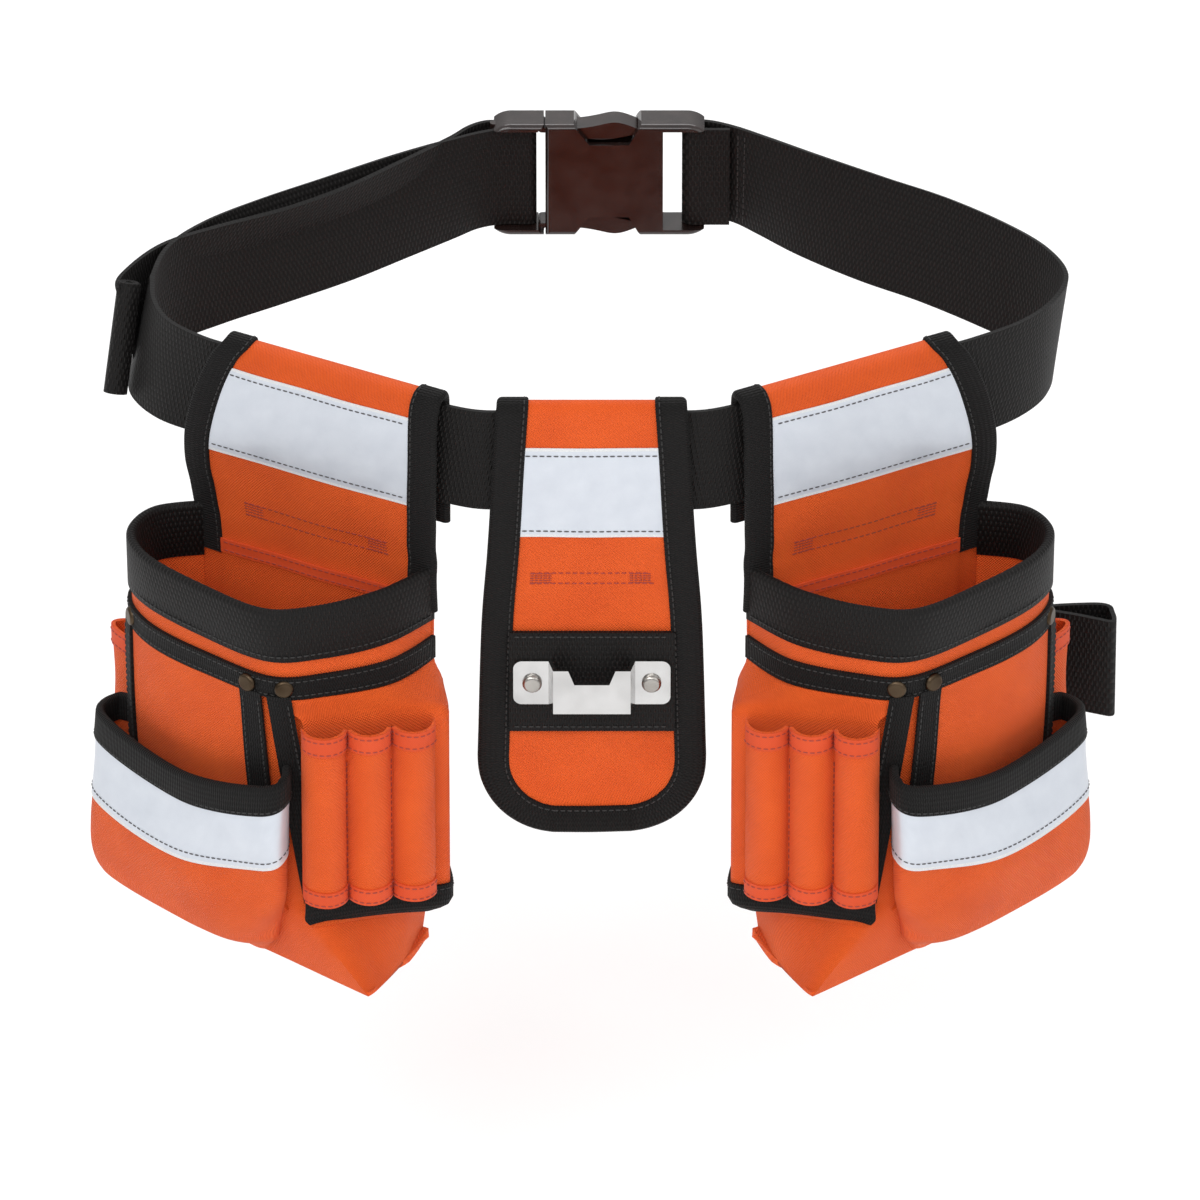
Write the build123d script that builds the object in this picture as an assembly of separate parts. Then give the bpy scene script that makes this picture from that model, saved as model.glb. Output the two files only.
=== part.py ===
from build123d import *
import os
from math import cos, hypot, radians, sin

os.makedirs("parts", exist_ok=True)

# Toy tool belt: a webbing waist belt with a side release buckle, a hammer holder and two pouches.
# Millimetres. +Z up, +X to the right of a viewer in front of the pouches, -Y towards that viewer.
# Origin: the middle of the waist loop, at half the height of the webbing.

# ---- driving dimensions ----
WEB_HEIGHT = 38.0
WEB_THICK = 1.6
FRONT_X = -5.0            # the pouches are mirror images about this plane
FRONT_Y = -106.0          # belt centre line at the front
CLOTH = 1.6               # lined cloth panel
BINDING_WIDTH = 9.0
GAP = 0.1                 # between sewn layers of one body

# Waist loop, from the socket bar round the right side to the front: x, y, outward lean in degrees
RIGHT_SIDE = [
    (37.0, 103.0, 0), (46.0, 98.2, 0), (56.0, 90.0, 4), (72.0, 75.5, 12), (94.0, 58.0, 20),
    (115.0, 43.0, 22), (135.0, 25.0, 19), (150.0, 8.0, 12), (157.0, -10.0, 8), (153.0, -28.0, 4),
    (143.0, -42.5, 2),
]
LEFT_SIDE = [(-152.0, -42.5, -6), (-159.5, -27.0, -12), (-160.5, -10.0, -12)]
LEFT_BACK = [
    (-160.5, -9.6, -12), (-152.0, 10.0, 0), (-136.0, 27.0, 13), (-115.0, 43.0, 21), (-94.0, 58.0, 20),
    (-72.0, 75.0, 12), (-54.0, 88.0, 4), (-45.0, 94.2, 0), (-36.0, 97.4, 0), (-27.5, 97.4, 0),
]

# Pouch frame: its origin is on the belt's centre line, u runs along the belt, "out" away from the wearer
POUCH_YAW = 30.0
POUCH_OFFSET = 90.25      # of the pouch origin from FRONT_X
POUCH_Y = -79.0
SLEEVE_LENGTH = 90.0
SLEEVE_TOP = 23.0
SLEEVE_BOTTOM = -28.5
SLEEVE_WALL = 1.2
POUCH_SLEEVE_GAP = 5.0    # room for the webbing inside the pouch's sleeve
HOLDER_SLEEVE_GAP = 3.0
HINGE_Z = -30.0
PANEL_TOP = -31.5
PANEL_FACE = 3.7          # "out" of the back panel's front face
BAG_WALL = 1.4

# Bag outlines (u, out), from the outer back corner round the front to the inner back corner
MOUTH_Z = -45.0
WAIST_Z = -162.0
BOTTOM_Z = -190.0
MOUTH = [(-49, PANEL_FACE), (-61, 16), (-60, 33), (-46, 46), (-20, 54), (8, 58), (24, 47), (37, 27),
         (44, PANEL_FACE)]
WAIST = [(-46, PANEL_FACE), (-57, 14), (-60, 30), (-46, 38), (-18, 46), (15, 50), (30, 38), (45, 26),
         (43, PANEL_FACE)]
BOTTOM = [(-44, PANEL_FACE), (-53, 10), (-59, 24), (-40, 32), (-6, 42), (46, 52), (45, 38), (42, 20),
          (39, PANEL_FACE)]

MOUTH_BAND = 19.0         # a 38 mm webbing folded over the rim
SECOND_BAND_TOP = -70.0
SECOND_BAND_HEIGHT = 8.5
FRONT_PANEL_TOP = -79.0
FRONT_PANEL_BOTTOM = -187.0

# Lower pocket outlines (u, out)
POCKET_RIM_Z = -110.0
POCKET_BELLY_Z = -158.0
POCKET_BOTTOM_Z = -187.0
POCKET_RIM = [(-56, 30), (-69, 27), (-66, 42), (-24, 62), (12, 67), (19, 61), (9, 44)]
POCKET_BELLY = [(-56, 28), (-73, 27), (-69, 44), (-24, 62), (8, 64), (17, 58), (9, 44)]
POCKET_BOTTOM = [(-56, 22), (-62, 26), (-58, 32), (-30, 41), (-10, 46), (-4, 46), (0, 36)]
POCKET_BINDING = 10.0
POCKET_REFLECTIVE = 22.0

# Tool tubes
TUBE_DEPTH = 10.0
TUBE_PITCH = 15.4
TUBE_WALL = 1.1
APRON = [(20.6, 52.0), (59.0, 21.1), (47.5, 5.0)]   # plan line (u, out) of the panel under them
APRON_STRIP = BINDING_WIDTH / hypot(APRON[1][0] - APRON[0][0], APRON[1][1] - APRON[0][1])
APRON_TOP = -79.0
APRON_BOTTOM = -162.0
INNER_TUBE_START = (30.6, 53.8)
INNER_TUBE_HEADING = -38.8
OUTER_TUBE_START = (-66.8, 3.9)
OUTER_TUBE_HEADING = 94.0
OUTER_TUBE_PITCH = 13.9
LOOP_BOTTOM = -138.0
INNER_TUBE_TOP = -88.0
INNER_TUBE_BOTTOM = -155.0
OUTER_TUBE_TOP = -84.0
OUTER_TUBE_BOTTOM = -168.0

# Hammer holder
HOLDER_X = FRONT_X + 0.5
HOLDER_TOP_WIDTH = 61.0
HOLDER_WIDTH = 75.0
HOLDER_BOTTOM = -145.0
HOLDER_THICK = 2.2
HOLDER_FACE = 2.7         # "out" of the holder panel's front face
PATCH_TOP = -66.5
PATCH_HEIGHT = 38.0
PATCH_WIDTH = 51.6
BRACKET_WIDTH = 54.0
BRACKET_HEIGHT = 17.0
BRACKET_Z = -85.0
BRACKET_SHEET = 1.2
BRACKET_RISE = 8.0
RIVET_X = 20.5
HOLDER_CORNER = 27.0

# Buckle: its middle plane is at BUCKLE_Y
BUCKLE_Y = 100.0
BUCKLE_HEIGHT = 44.0
BUCKLE_THICK = 13.5
BUCKLE_PARTING = -21.0
SOCKET_END = 38.0
PLUG_END = -42.0
RAIL = 2.4                # height of the rails above and below the webbing
CAVITY_HALF = 20.2
CAVITY_THICK = 9.0
TAB_PIVOT_X = -22.3
TAB_PIVOT_Z = 19.4
TAB_ROOT = 1.2
BAR_HALF = 1.6


def write(node, shape):
    export_step(shape, f"parts/{node}.step")


def merged(*solids):
    """One solid from touching solids."""
    whole = solids[0]
    for extra in solids[1:]:
        whole = whole + extra
    return whole


# ---- webbing ----
def stations(points, count):
    """Evenly spaced (point, outward normal, lean) along a smooth curve through x, y, lean points."""
    curve = Spline(*[Vector(*point) for point in points])
    result = []
    for step in range(count):
        share = step / (count - 1)
        place = curve @ share
        heading = curve % share
        outward = Vector(-heading.Y, heading.X, 0).normalized()
        result.append((Vector(place.X, place.Y, 0), outward, place.Z))
    return result


def ribbon(path):
    """Webbing as a solid through the stations of a path."""
    rings = []
    for place, outward, lean in path:
        up = Vector(0, 0, cos(radians(lean))) + outward * sin(radians(lean))
        across = outward * cos(radians(lean)) - Vector(0, 0, sin(radians(lean)))
        half_up = up * (WEB_HEIGHT / 2)
        half_across = across * (WEB_THICK / 2)
        corners = [
            place + half_up + half_across,
            place + half_up - half_across,
            place - half_up - half_across,
            place - half_up + half_across,
        ]
        rings.append(Wire.make_polygon(corners, close=True))
    return Solid.make_loft(rings)


def shifted(path, distance):
    return [(place + outward * distance, outward, lean) for place, outward, lean in path]


def webbing_turn(bar_x, start_x, end_x, radius, side):
    """Webbing bent round a bar: two straight layers and a half turn, side +1 opens to +X."""
    near = BUCKLE_Y - radius
    far = BUCKLE_Y + radius
    line = Wire([
        Edge.make_line((start_x, near), (bar_x, near)),
        Edge.make_three_point_arc((bar_x, near), (bar_x - side * radius, BUCKLE_Y), (bar_x, far)),
        Edge.make_line((bar_x, far), (end_x, far)),
    ])
    profile = Face(line.offset_2d(WEB_THICK / 2))
    return Pos(0, 0, -WEB_HEIGHT / 2) * Solid.extrude(profile, Vector(0, 0, WEB_HEIGHT))


def pouch_belt_point(side, u):
    """Point of the belt's centre line at u in a pouch's frame, with no lean."""
    x = POUCH_OFFSET - u * cos(radians(POUCH_YAW))
    y = POUCH_Y - u * sin(radians(POUCH_YAW))
    return (FRONT_X + side * x, y, 0)


def belt_webbing():
    straight = [-49, -30, -10, 10, 30, 38]
    right = [pouch_belt_point(1, u) for u in straight]
    front = [(34, FRONT_Y, 0), (14, FRONT_Y, 0), (-6, FRONT_Y, 0), (-26, FRONT_Y, 0), (-44, FRONT_Y, 0)]
    left = [pouch_belt_point(-1, u) for u in reversed(straight)]
    points = RIGHT_SIDE + right + front + left + LEFT_SIDE
    body = ribbon(stations(points, 64))
    turn = webbing_turn(31.0, 44.0, RIGHT_SIDE[0][0], 3.0, 1)
    return merged(body, turn)


def adjuster_strap():
    path = stations(LEFT_BACK, 34)
    inner = ribbon(path)
    turn = webbing_turn(LEFT_BACK[-1][0], -29.0, -38.0, 2.6, -1)
    outer_near = [(-164.4, -22.0, -12), (-164.0, -15.0, -12), (-163.3, -9.6, -12)]
    outer_points = outer_near + [
        (-154.2, 11.5, 0), (-137.8, 28.9, 13), (-116.5, 45.0, 21), (-95.5, 60.0, 20), (-73.4, 77.0, 12),
        (-56.0, 90.5, 4), (-48.0, 98.5, 0), (-42.0, 102.8, 0), (-36.0, 102.8, 0),
    ]
    outer = ribbon(stations(outer_points, 40))
    return merged(inner, turn, outer, rolled_hem())


def rolled_hem():
    """The free end's rolled and sewn hem: a leaning flattened roll."""
    foot = Vector(-171.0, -28.0, -18.0)
    head = Vector(-164.6, -13.0, 18.5)
    axis = head - foot
    plane = Plane(origin=foot, x_dir=(0, 1, 0), z_dir=axis)
    return Solid.extrude(Face(Wire(plane * Edge.make_ellipse(5.0, 3.8))), axis)


# ---- buckle ----
def block(x_low, x_high, y_low, y_high, z_low, z_high):
    return Pos(x_low, y_low, z_low) * Solid.make_box(x_high - x_low, y_high - y_low, z_high - z_low)


def through_y(points):
    """Prism of an x, z outline right through the buckle's thickness."""
    outline = Wire.make_polygon([Vector(x, BUCKLE_Y - 20, z) for x, z in points], close=True)
    return Solid.extrude(Face(outline), Vector(0, 40, 0))


def buckle_block(x_low, x_high, round_x):
    """Outer block of one half, with large corners at its strap end and small radii elsewhere."""
    half = BUCKLE_HEIGHT / 2
    body = block(x_low, x_high, BUCKLE_Y - BUCKLE_THICK / 2, BUCKLE_Y + BUCKLE_THICK / 2, -half, half)
    corners = [e for e in body.edges().filter_by(Axis.Y) if abs(e.center().X - round_x) < 0.1]
    body = body.fillet(9.0, corners)
    rims = [
        e for e in body.edges()
        if abs(abs(e.center().Y - BUCKLE_Y) - BUCKLE_THICK / 2) < 0.1
    ]
    return body.fillet(1.8, rims)


def buckle_female():
    body = buckle_block(BUCKLE_PARTING, SOCKET_END, SOCKET_END)
    half = BUCKLE_HEIGHT / 2
    web = WEB_HEIGHT / 2 + 0.6
    cavity = block(BUCKLE_PARTING - 1, 15.5, BUCKLE_Y - CAVITY_THICK / 2, BUCKLE_Y + CAVITY_THICK / 2,
                   -CAVITY_HALF, CAVITY_HALF)
    body = body - cavity
    for side in (1, -1):
        notch = [(-11.4, side * (half + 1)), (-10.4, side * 21), (-5.5, side * 14.4), (8.5, side * 14.4),
                 (11.5, side * 20), (13.5, side * (half + 1))]
        body = body - through_y(notch)
    body = body - block(20.5, SOCKET_END + 1, BUCKLE_Y - 20, BUCKLE_Y + 20, -web, web)
    bar = block(29.0, 34.0, BUCKLE_Y - 2.0, BUCKLE_Y + 2.0, -web - 0.5, web + 0.5)
    bar = bar.fillet(1.8, bar.edges().filter_by(Axis.Z))
    return merged(body, bar)


def buckle_male():
    body = buckle_block(PLUG_END, BUCKLE_PARTING - 0.5, PLUG_END)
    web = WEB_HEIGHT / 2 + 0.6
    body = body - block(PLUG_END - 1, BUCKLE_PARTING + 1, BUCKLE_Y - 20, BUCKLE_Y + 20, -web, web)
    pieces = [body]
    for low, high, depth in ((-40.5, -36.5, 1.6), (-29.1, -25.9, BAR_HALF)):
        bar = block(low, high, BUCKLE_Y - depth, BUCKLE_Y + depth, -web - 0.5, web + 0.5)
        pieces.append(bar.fillet(1.5, bar.edges().filter_by(Axis.Z)))
    frame = merged(*pieces)
    for side in (1, -1):
        socket = Solid.make_cylinder(
            TAB_ROOT + 0.08, 40, Plane(origin=(TAB_PIVOT_X, BUCKLE_Y - 20, side * TAB_PIVOT_Z), z_dir=(0, 1, 0)))
        frame = frame - socket
    return frame


def release_tab(side):
    """Sprung prong: a round root, an arm under the socket's bridge and a lens that fills the notch."""
    outline = Wire([
        Spline(*[Vector(x, 0, side * z) for x, z in [(TAB_PIVOT_X, 19.9), (-16.0, 19.9), (-10.6, 19.9)]]).edge(),
        Spline(*[Vector(x, 0, side * z) for x, z in
                 [(-10.6, 19.9), (-6.0, 20.3), (-1.0, 21.4), (3.5, 22.2), (8.0, 21.2), (13.0, 18.9)]]).edge(),
        Edge.make_line(Vector(13.0, 0, side * 18.9), Vector(13.0, 0, side * 18.0)),
        Spline(*[Vector(x, 0, side * z) for x, z in
                 [(13.0, 18.0), (6.0, 16.4), (-1.0, 15.4), (-8.0, 16.2), (-15.0, 17.4), (TAB_PIVOT_X, 18.2)]]).edge(),
        Edge.make_line(Vector(TAB_PIVOT_X, 0, side * 18.2), Vector(TAB_PIVOT_X, 0, side * 19.9)),
    ])
    arm = Solid.extrude(Face(outline), Vector(0, 8.4, 0))
    arm = Pos(0, BUCKLE_Y - 4.2, 0) * arm
    root = Solid.make_cylinder(
        TAB_ROOT, 8.4, Plane(origin=(TAB_PIVOT_X, BUCKLE_Y - 4.2, side * TAB_PIVOT_Z), z_dir=(0, 1, 0)))
    return merged(arm, root)


# ---- local frames ----
def pouch_place(side, shape):
    """From the pouch's own frame (x = u, y = -out) to the belt's; side -1 is the left pouch."""
    left = Pos(FRONT_X - POUCH_OFFSET, POUCH_Y, 0) * Rot(0, 0, -POUCH_YAW) * shape
    if side < 0:
        return left
    return left.mirror(Plane(origin=(FRONT_X, 0, 0), z_dir=(1, 0, 0)))


def holder_place(shape):
    return Pos(HOLDER_X, FRONT_Y, 0) * shape


def local_block(u_low, u_high, out_low, out_high, z_low, z_high):
    return block(u_low, u_high, -out_high, -out_low, z_low, z_high)


def sleeve(length, gap):
    """Flat tube of cloth round the webbing, open at both ends."""
    half = length / 2
    deep = gap / 2 + SLEEVE_WALL
    outer = local_block(-half, half, -deep, deep, SLEEVE_BOTTOM, SLEEVE_TOP)
    outer = outer.fillet(deep * 0.7, outer.edges().filter_by(Axis.X))
    inner = local_block(-half - 1, half + 1, -gap / 2, gap / 2, -WEB_HEIGHT / 2 - 2.4, WEB_HEIGHT / 2 + 2.4)
    return outer - inner


def side_strips(length, width, out_low, out_high, z_low, z_high):
    """Two upright strips along the ends of a sleeve."""
    half = length / 2
    strips = []
    for low, high in ((-half, -half + width), (half - width, half)):
        strips.append(local_block(low, high, out_low, out_high, z_low, z_high))
    return strips


# ---- bag ----
def outline_at(z):
    """Bag outline at a height, straight between the named ones."""
    if z >= WAIST_Z:
        upper, lower, share = MOUTH, WAIST, (MOUTH_Z - z) / (MOUTH_Z - WAIST_Z)
    else:
        upper, lower, share = WAIST, BOTTOM, (WAIST_Z - z) / (WAIST_Z - BOTTOM_Z)
    return [(a + (c - a) * share, b + (d - b) * share) for (a, b), (c, d) in zip(upper, lower)]


def grown(points, distance, ends_along_u=True):
    """Open outline moved outward; its two ends move along u only, or square to their sides."""
    result = []
    last = len(points) - 1
    for index, (u, out) in enumerate(points):
        if ends_along_u and index in (0, last):
            result.append((u + (distance if index else -distance), out))
            continue
        before = Vector(*points[max(index, 1)]) - Vector(*points[max(index, 1) - 1])
        after = Vector(*points[min(index, last - 1) + 1]) - Vector(*points[min(index, last - 1)])
        normal_a = Vector(-before.Y, before.X).normalized()
        normal_b = Vector(-after.Y, after.X).normalized()
        middle = (normal_a + normal_b).normalized()
        reach = distance / max(middle.dot(normal_a), 0.5)
        result.append((u + middle.X * reach, out + middle.Y * reach))
    return result


def run(points, start, end):
    """Part of an outline between two places, each a vertex number plus a share of the next side."""
    def at(place):
        index = min(int(place), len(points) - 2)
        share = place - index
        (a, b), (c, d) = points[index], points[index + 1]
        return (a + (c - a) * share, b + (d - b) * share)
    inner = [points[i] for i in range(len(points)) if start < i < end]
    return [at(start)] + inner + [at(end)]


def wire_at(points, z):
    return Wire.make_polygon([Vector(u, -out, z) for u, out in points], close=True)


def wrap(levels, start, end, inner, outer):
    """Layer on the bag between two offsets, over levels of height, for part of the outline."""
    solids = []
    for high, low in zip(levels, levels[1:]):
        rings = []
        for z in (high, low):
            base = outline_at(z)
            far = run(grown(base, outer), start, end)
            near = run(grown(base, inner), start, end)
            rings.append(wire_at(far + near[::-1], z))
        solids.append(Solid.make_loft(rings, True))
    return merged(*solids)


LAST = len(MOUTH) - 1


def bag_solid(distance, top, bottom, back=PANEL_FACE):
    """The bag's whole volume, grown by a distance, from one height to another."""
    levels = [z for z in (top, WAIST_Z, bottom) if bottom <= z <= top]
    solids = []
    for high, low in zip(levels, levels[1:]):
        rings = []
        for z in (high, low):
            points = grown(outline_at(max(z, BOTTOM_Z)), distance)
            closed = [(points[0][0], back)] + points + [(points[-1][0], back)]
            rings.append(wire_at(closed if back < PANEL_FACE else points, z))
        solids.append(Solid.make_loft(rings, True))
    return merged(*solids)


def bag_shell():
    outside = bag_solid(0, MOUTH_Z, BOTTOM_Z)
    inside = bag_solid(-BAG_WALL, MOUTH_Z + 5, BOTTOM_Z + BAG_WALL, back=PANEL_FACE - 3)
    return outside - inside


def mouth_band():
    """Webbing folded over the rim, outside and inside."""
    top = MOUTH_Z + 1.6
    low = MOUTH_Z - MOUTH_BAND
    whole = wrap([top, low], 0, LAST, -BAG_WALL - 1.5, 1.5)
    return whole - wrap([MOUTH_Z + GAP, low - 1], 0, LAST, -BAG_WALL - GAP, GAP)


def second_band():
    low = SECOND_BAND_TOP - SECOND_BAND_HEIGHT
    return wrap([SECOND_BAND_TOP, low], 0, LAST, GAP, 1.8)


PANEL_LEVELS = [FRONT_PANEL_TOP, WAIST_Z, FRONT_PANEL_BOTTOM]
STRAP_LEFT = (2.0, 2.5)
STRAP_RIGHT = (4.6, 4.88)
STRAP_APRON = (5.05, 5.45)


def front_panel():
    return wrap(PANEL_LEVELS, STRAP_LEFT[0] + 0.1, STRAP_RIGHT[1] - 0.05, GAP, 1.3)


def front_panel_binding():
    return [wrap(PANEL_LEVELS, *STRAP_LEFT, 1.4, 2.6), wrap(PANEL_LEVELS, *STRAP_RIGHT, 1.4, 2.6)]


def pocket_volume(distance, floor):
    """The lower pocket's whole volume, grown by a distance, with room above its rim."""
    levels = [(POCKET_RIM_Z + 3, POCKET_RIM), (POCKET_RIM_Z, POCKET_RIM), (POCKET_BELLY_Z, POCKET_BELLY),
              (floor, POCKET_BOTTOM)]
    solids = []
    for (high, a), (low, b) in zip(levels, levels[1:]):
        rings = [wire_at(grown(a, distance, False), high), wire_at(grown(b, distance, False), low)]
        solids.append(Solid.make_loft(rings, True))
    return merged(*solids)


def pocket_wall(inner, outer, top, bottom, floor=POCKET_BOTTOM_Z):
    """Wall of the lower pocket between two offsets and two heights, in front of the bound panel."""
    wall = pocket_volume(outer, POCKET_BOTTOM_Z) - pocket_volume(inner, floor)
    keep = local_block(-120, 80, -20, 120, bottom, top)
    return (wall & keep) - bag_solid(2.8, MOUTH_Z, BOTTOM_Z - 2)


def lower_pocket():
    return pocket_wall(-1.2, 0, POCKET_RIM_Z, POCKET_BOTTOM_Z, POCKET_BOTTOM_Z + 1.4)


def lower_pocket_binding():
    return pocket_wall(GAP, 1.2, POCKET_RIM_Z, POCKET_RIM_Z - POCKET_BINDING)


def lower_pocket_reflective():
    top = POCKET_RIM_Z - POCKET_BINDING - GAP
    return pocket_wall(GAP, 0.6, top, top - POCKET_REFLECTIVE)


def tube(top, bottom, width, depth):
    """One open tool tube of cloth, upright at the local origin, its width along X."""
    outer = Solid.extrude(Face(Wire(Edge.make_ellipse(width / 2, depth / 2))), Vector(0, 0, top - bottom))
    bore = Face(Wire(Edge.make_ellipse(width / 2 - TUBE_WALL, depth / 2 - TUBE_WALL)))
    inner = Pos(0, 0, -1) * Solid.extrude(bore, Vector(0, 0, top - bottom + 2))
    return Pos(0, 0, bottom) * (outer - inner)


def tube_row(first, heading, pitch, count, top, bottom):
    """Separate tubes side by side along a straight line in plan, from a first centre (u, out)."""
    row = []
    for index in range(count):
        u = first[0] + cos(radians(heading)) * pitch * index
        out = first[1] + sin(radians(heading)) * pitch * index
        row.append(Pos(u, -out, 0) * Rot(0, 0, -heading) * tube(top, bottom, pitch - 0.4, TUBE_DEPTH))
    return row


def apron_layer(inner, outer, top, bottom, start=0.0, end=2.0):
    """Part of the panel that carries the inner-side tubes, between two offsets and two heights."""
    far = run(grown(APRON, outer, False), start, end)
    near = run(grown(APRON, inner, False), start, end)
    return Solid.extrude(Face(wire_at(far + near[::-1], bottom)), Vector(0, 0, top - bottom))


def tube_apron():
    return apron_layer(0, 1.2, APRON_TOP, APRON_BOTTOM)


def tube_apron_binding():
    edge = apron_layer(1.3, 2.5, APRON_TOP, INNER_TUBE_BOTTOM - GAP, 0, APRON_STRIP)
    foot = apron_layer(1.3, 2.5, INNER_TUBE_BOTTOM - GAP, APRON_BOTTOM)
    return merged(edge, foot)


def inner_tubes():
    return tube_row(INNER_TUBE_START, INNER_TUBE_HEADING, TUBE_PITCH, 3, INNER_TUBE_TOP, INNER_TUBE_BOTTOM)


def outer_tubes():
    return tube_row(
        OUTER_TUBE_START, OUTER_TUBE_HEADING, OUTER_TUBE_PITCH, 2, OUTER_TUBE_TOP, OUTER_TUBE_BOTTOM)


def rivet(radius, height):
    """Domed head, standing up from the local XY plane."""
    head = Solid.make_cylinder(radius, height)
    return head.fillet(height * 0.75, [e for e in head.edges() if e.center().Z > height * 0.9 and e.length > 1])


def rivet_on_band(place):
    """A rivet head on the second band at a place of the outline."""
    z = SECOND_BAND_TOP - SECOND_BAND_HEIGHT / 2
    points = grown(outline_at(z), 1.8 + 0.25)
    (a, b), (c, d) = run(points, place - 0.02, place + 0.02)[:2]
    normal = Vector(-(d - b), c - a, 0).normalized()
    centre = Vector((a + c) / 2, -(b + d) / 2, z)
    return Plane(origin=centre, z_dir=(normal.X, -normal.Y, 0)) * rivet(3.4, 1.7)


def pouch_rivets():
    return [rivet_on_band(place) for place in (1.6, 2.4, 4.72, 5.28)]


def side_loop():
    """Webbing loop: out from behind the back panel, round a fold and back behind the outer tubes."""
    points = [(-45, 1.1), (-53, -0.5), (-60, -6.6), (-79, -6.6), (-103, 2.5), (-99, 12.5), (-79, -4.4), (-62, -4.4)]
    line = FilletPolyline(*[Vector(u, -out, 0) for u, out in points], radius=2.2)
    profile = Face(Wire(line.edges()).offset_2d(WEB_THICK / 2))
    return Pos(0, 0, LOOP_BOTTOM) * Solid.extrude(profile, Vector(0, 0, WEB_HEIGHT))


def back_panel():
    corners = [(-49, PANEL_TOP), (49, PANEL_TOP), (BOTTOM[-1][0], BOTTOM_Z), (BOTTOM[0][0], BOTTOM_Z)]
    outline = Wire.make_polygon([Vector(u, -PANEL_FACE, z) for u, z in corners], close=True)
    return Solid.extrude(Face(outline), Vector(0, CLOTH, 0))


def pouch_pieces():
    """Every piece of one pouch in its own frame, by name."""
    face = PANEL_FACE + GAP / 2
    half = SLEEVE_LENGTH / 2
    strip = BINDING_WIDTH
    return {
        "sleeve": [sleeve(SLEEVE_LENGTH, POUCH_SLEEVE_GAP)],
        "sleeve_binding": side_strips(SLEEVE_LENGTH, strip, face, face + 1.2, SLEEVE_BOTTOM, 20),
        "reflective_band": [local_block(strip - half, half - strip, face, face + 0.4, -19, 12)],
        "back_panel": [back_panel()],
        "back_panel_binding": side_strips(98, strip, face, face + 1.2, MOUTH_Z + 1.8, PANEL_TOP),
        "inner_pocket": [local_block(-40, 36, face, face + 1.1, -150, -56)],
        "bag_shell": [bag_shell()],
        "mouth_band": [mouth_band()],
        "second_band": [second_band()],
        "front_panel": [front_panel()],
        "front_panel_binding": front_panel_binding(),
        "lower_pocket": [lower_pocket()],
        "lower_pocket_binding": [lower_pocket_binding()],
        "lower_pocket_reflective": [lower_pocket_reflective()],
        "tube_apron": [tube_apron()],
        "tube_apron_binding": [tube_apron_binding()],
        "inner_tubes": inner_tubes(),
        "outer_tubes": outer_tubes(),
        "rivets": pouch_rivets(),
    }


# ---- hammer holder ----
def holder_outline(inset):
    """Panel outline in x and z, with its round lower corners, moved inwards."""
    top = HOLDER_TOP_WIDTH / 2 + 2.9 - inset
    wide = HOLDER_WIDTH / 2 - inset
    low = HOLDER_BOTTOM + inset
    points = [(-top, PANEL_TOP), (-wide, -108), (-wide, low), (wide, low), (wide, -108), (top, PANEL_TOP)]
    face = Face(Wire.make_polygon([Vector(x, 0, z) for x, z in points], close=True))
    corners = [v for v in face.vertices() if abs(v.Z - low) < 0.01]
    return face.fillet_2d(HOLDER_CORNER - inset, corners)


def holder_slab(inset, out_low, out_high):
    return Pos(0, -out_low, 0) * Solid.extrude(holder_outline(inset), Vector(0, out_low - out_high, 0))


def holder_panel():
    return holder_slab(GAP, HOLDER_FACE - HOLDER_THICK, HOLDER_FACE)


def holder_binding():
    low = HOLDER_FACE - HOLDER_THICK - 0.9
    high = HOLDER_FACE + 0.9
    around = holder_slab(-0.8, low, high) - Pos(0, 0, 3) * holder_slab(BINDING_WIDTH, low - 1, high + 1)
    around = around - holder_slab(BINDING_WIDTH, low - 1, high + 1)
    return around - holder_slab(0, HOLDER_FACE - HOLDER_THICK - GAP, HOLDER_FACE + GAP)


def hammer_bracket():
    """Bent strip: two flat ears, two upright bends and a raised middle with a notch at its top."""
    seat = HOLDER_FACE + GAP + WEB_THICK + GAP
    ear = BRACKET_WIDTH / 2
    bend = 13.7
    top = seat + BRACKET_RISE
    profile = make_face(Polyline(*[Vector(x, -out, 0) for x, out in [
        (-ear, seat), (-bend, seat), (-bend + 1.5, top - BRACKET_SHEET), (bend - 1.5, top - BRACKET_SHEET),
        (bend, seat), (ear, seat), (ear, seat + BRACKET_SHEET), (bend + 1.2, seat + BRACKET_SHEET),
        (bend - 0.4, top), (0.4 - bend, top), (-bend - 1.2, seat + BRACKET_SHEET),
        (-ear, seat + BRACKET_SHEET)]], close=True))
    low = BRACKET_Z - BRACKET_HEIGHT / 2
    strip = Pos(0, 0, low) * Solid.extrude(profile.face(), Vector(0, 0, BRACKET_HEIGHT))
    ends = [e for e in strip.edges().filter_by(Axis.Y) if abs(abs(e.center().X) - ear) < 0.1]
    strip = strip.fillet(3.0, ends)
    high = BRACKET_Z + BRACKET_HEIGHT / 2
    notch = [(-8.5, high + 1), (-6, high - 5.5), (6, high - 5.5), (8.5, high + 1)]
    cut = Face(Wire.make_polygon([Vector(x, -top - 2, z) for x, z in notch], close=True))
    return strip - Solid.extrude(cut, Vector(0, 6, 0))


def bracket_rivets():
    heads = []
    seat = HOLDER_FACE + 2 * GAP + WEB_THICK + BRACKET_SHEET + 0.02
    for side in (-1, 1):
        heads.append(Plane(origin=(side * RIVET_X, -seat, BRACKET_Z), z_dir=(0, -1, 0)) * rivet(3.4, 1.9))
    return heads


def bracket_washers():
    back = HOLDER_FACE - HOLDER_THICK - 0.05
    return [
        Plane(origin=(side * RIVET_X, -back, BRACKET_Z), z_dir=(0, 1, 0)) * rivet(4.0, 0.8)
        for side in (-1, 1)
    ]


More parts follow.
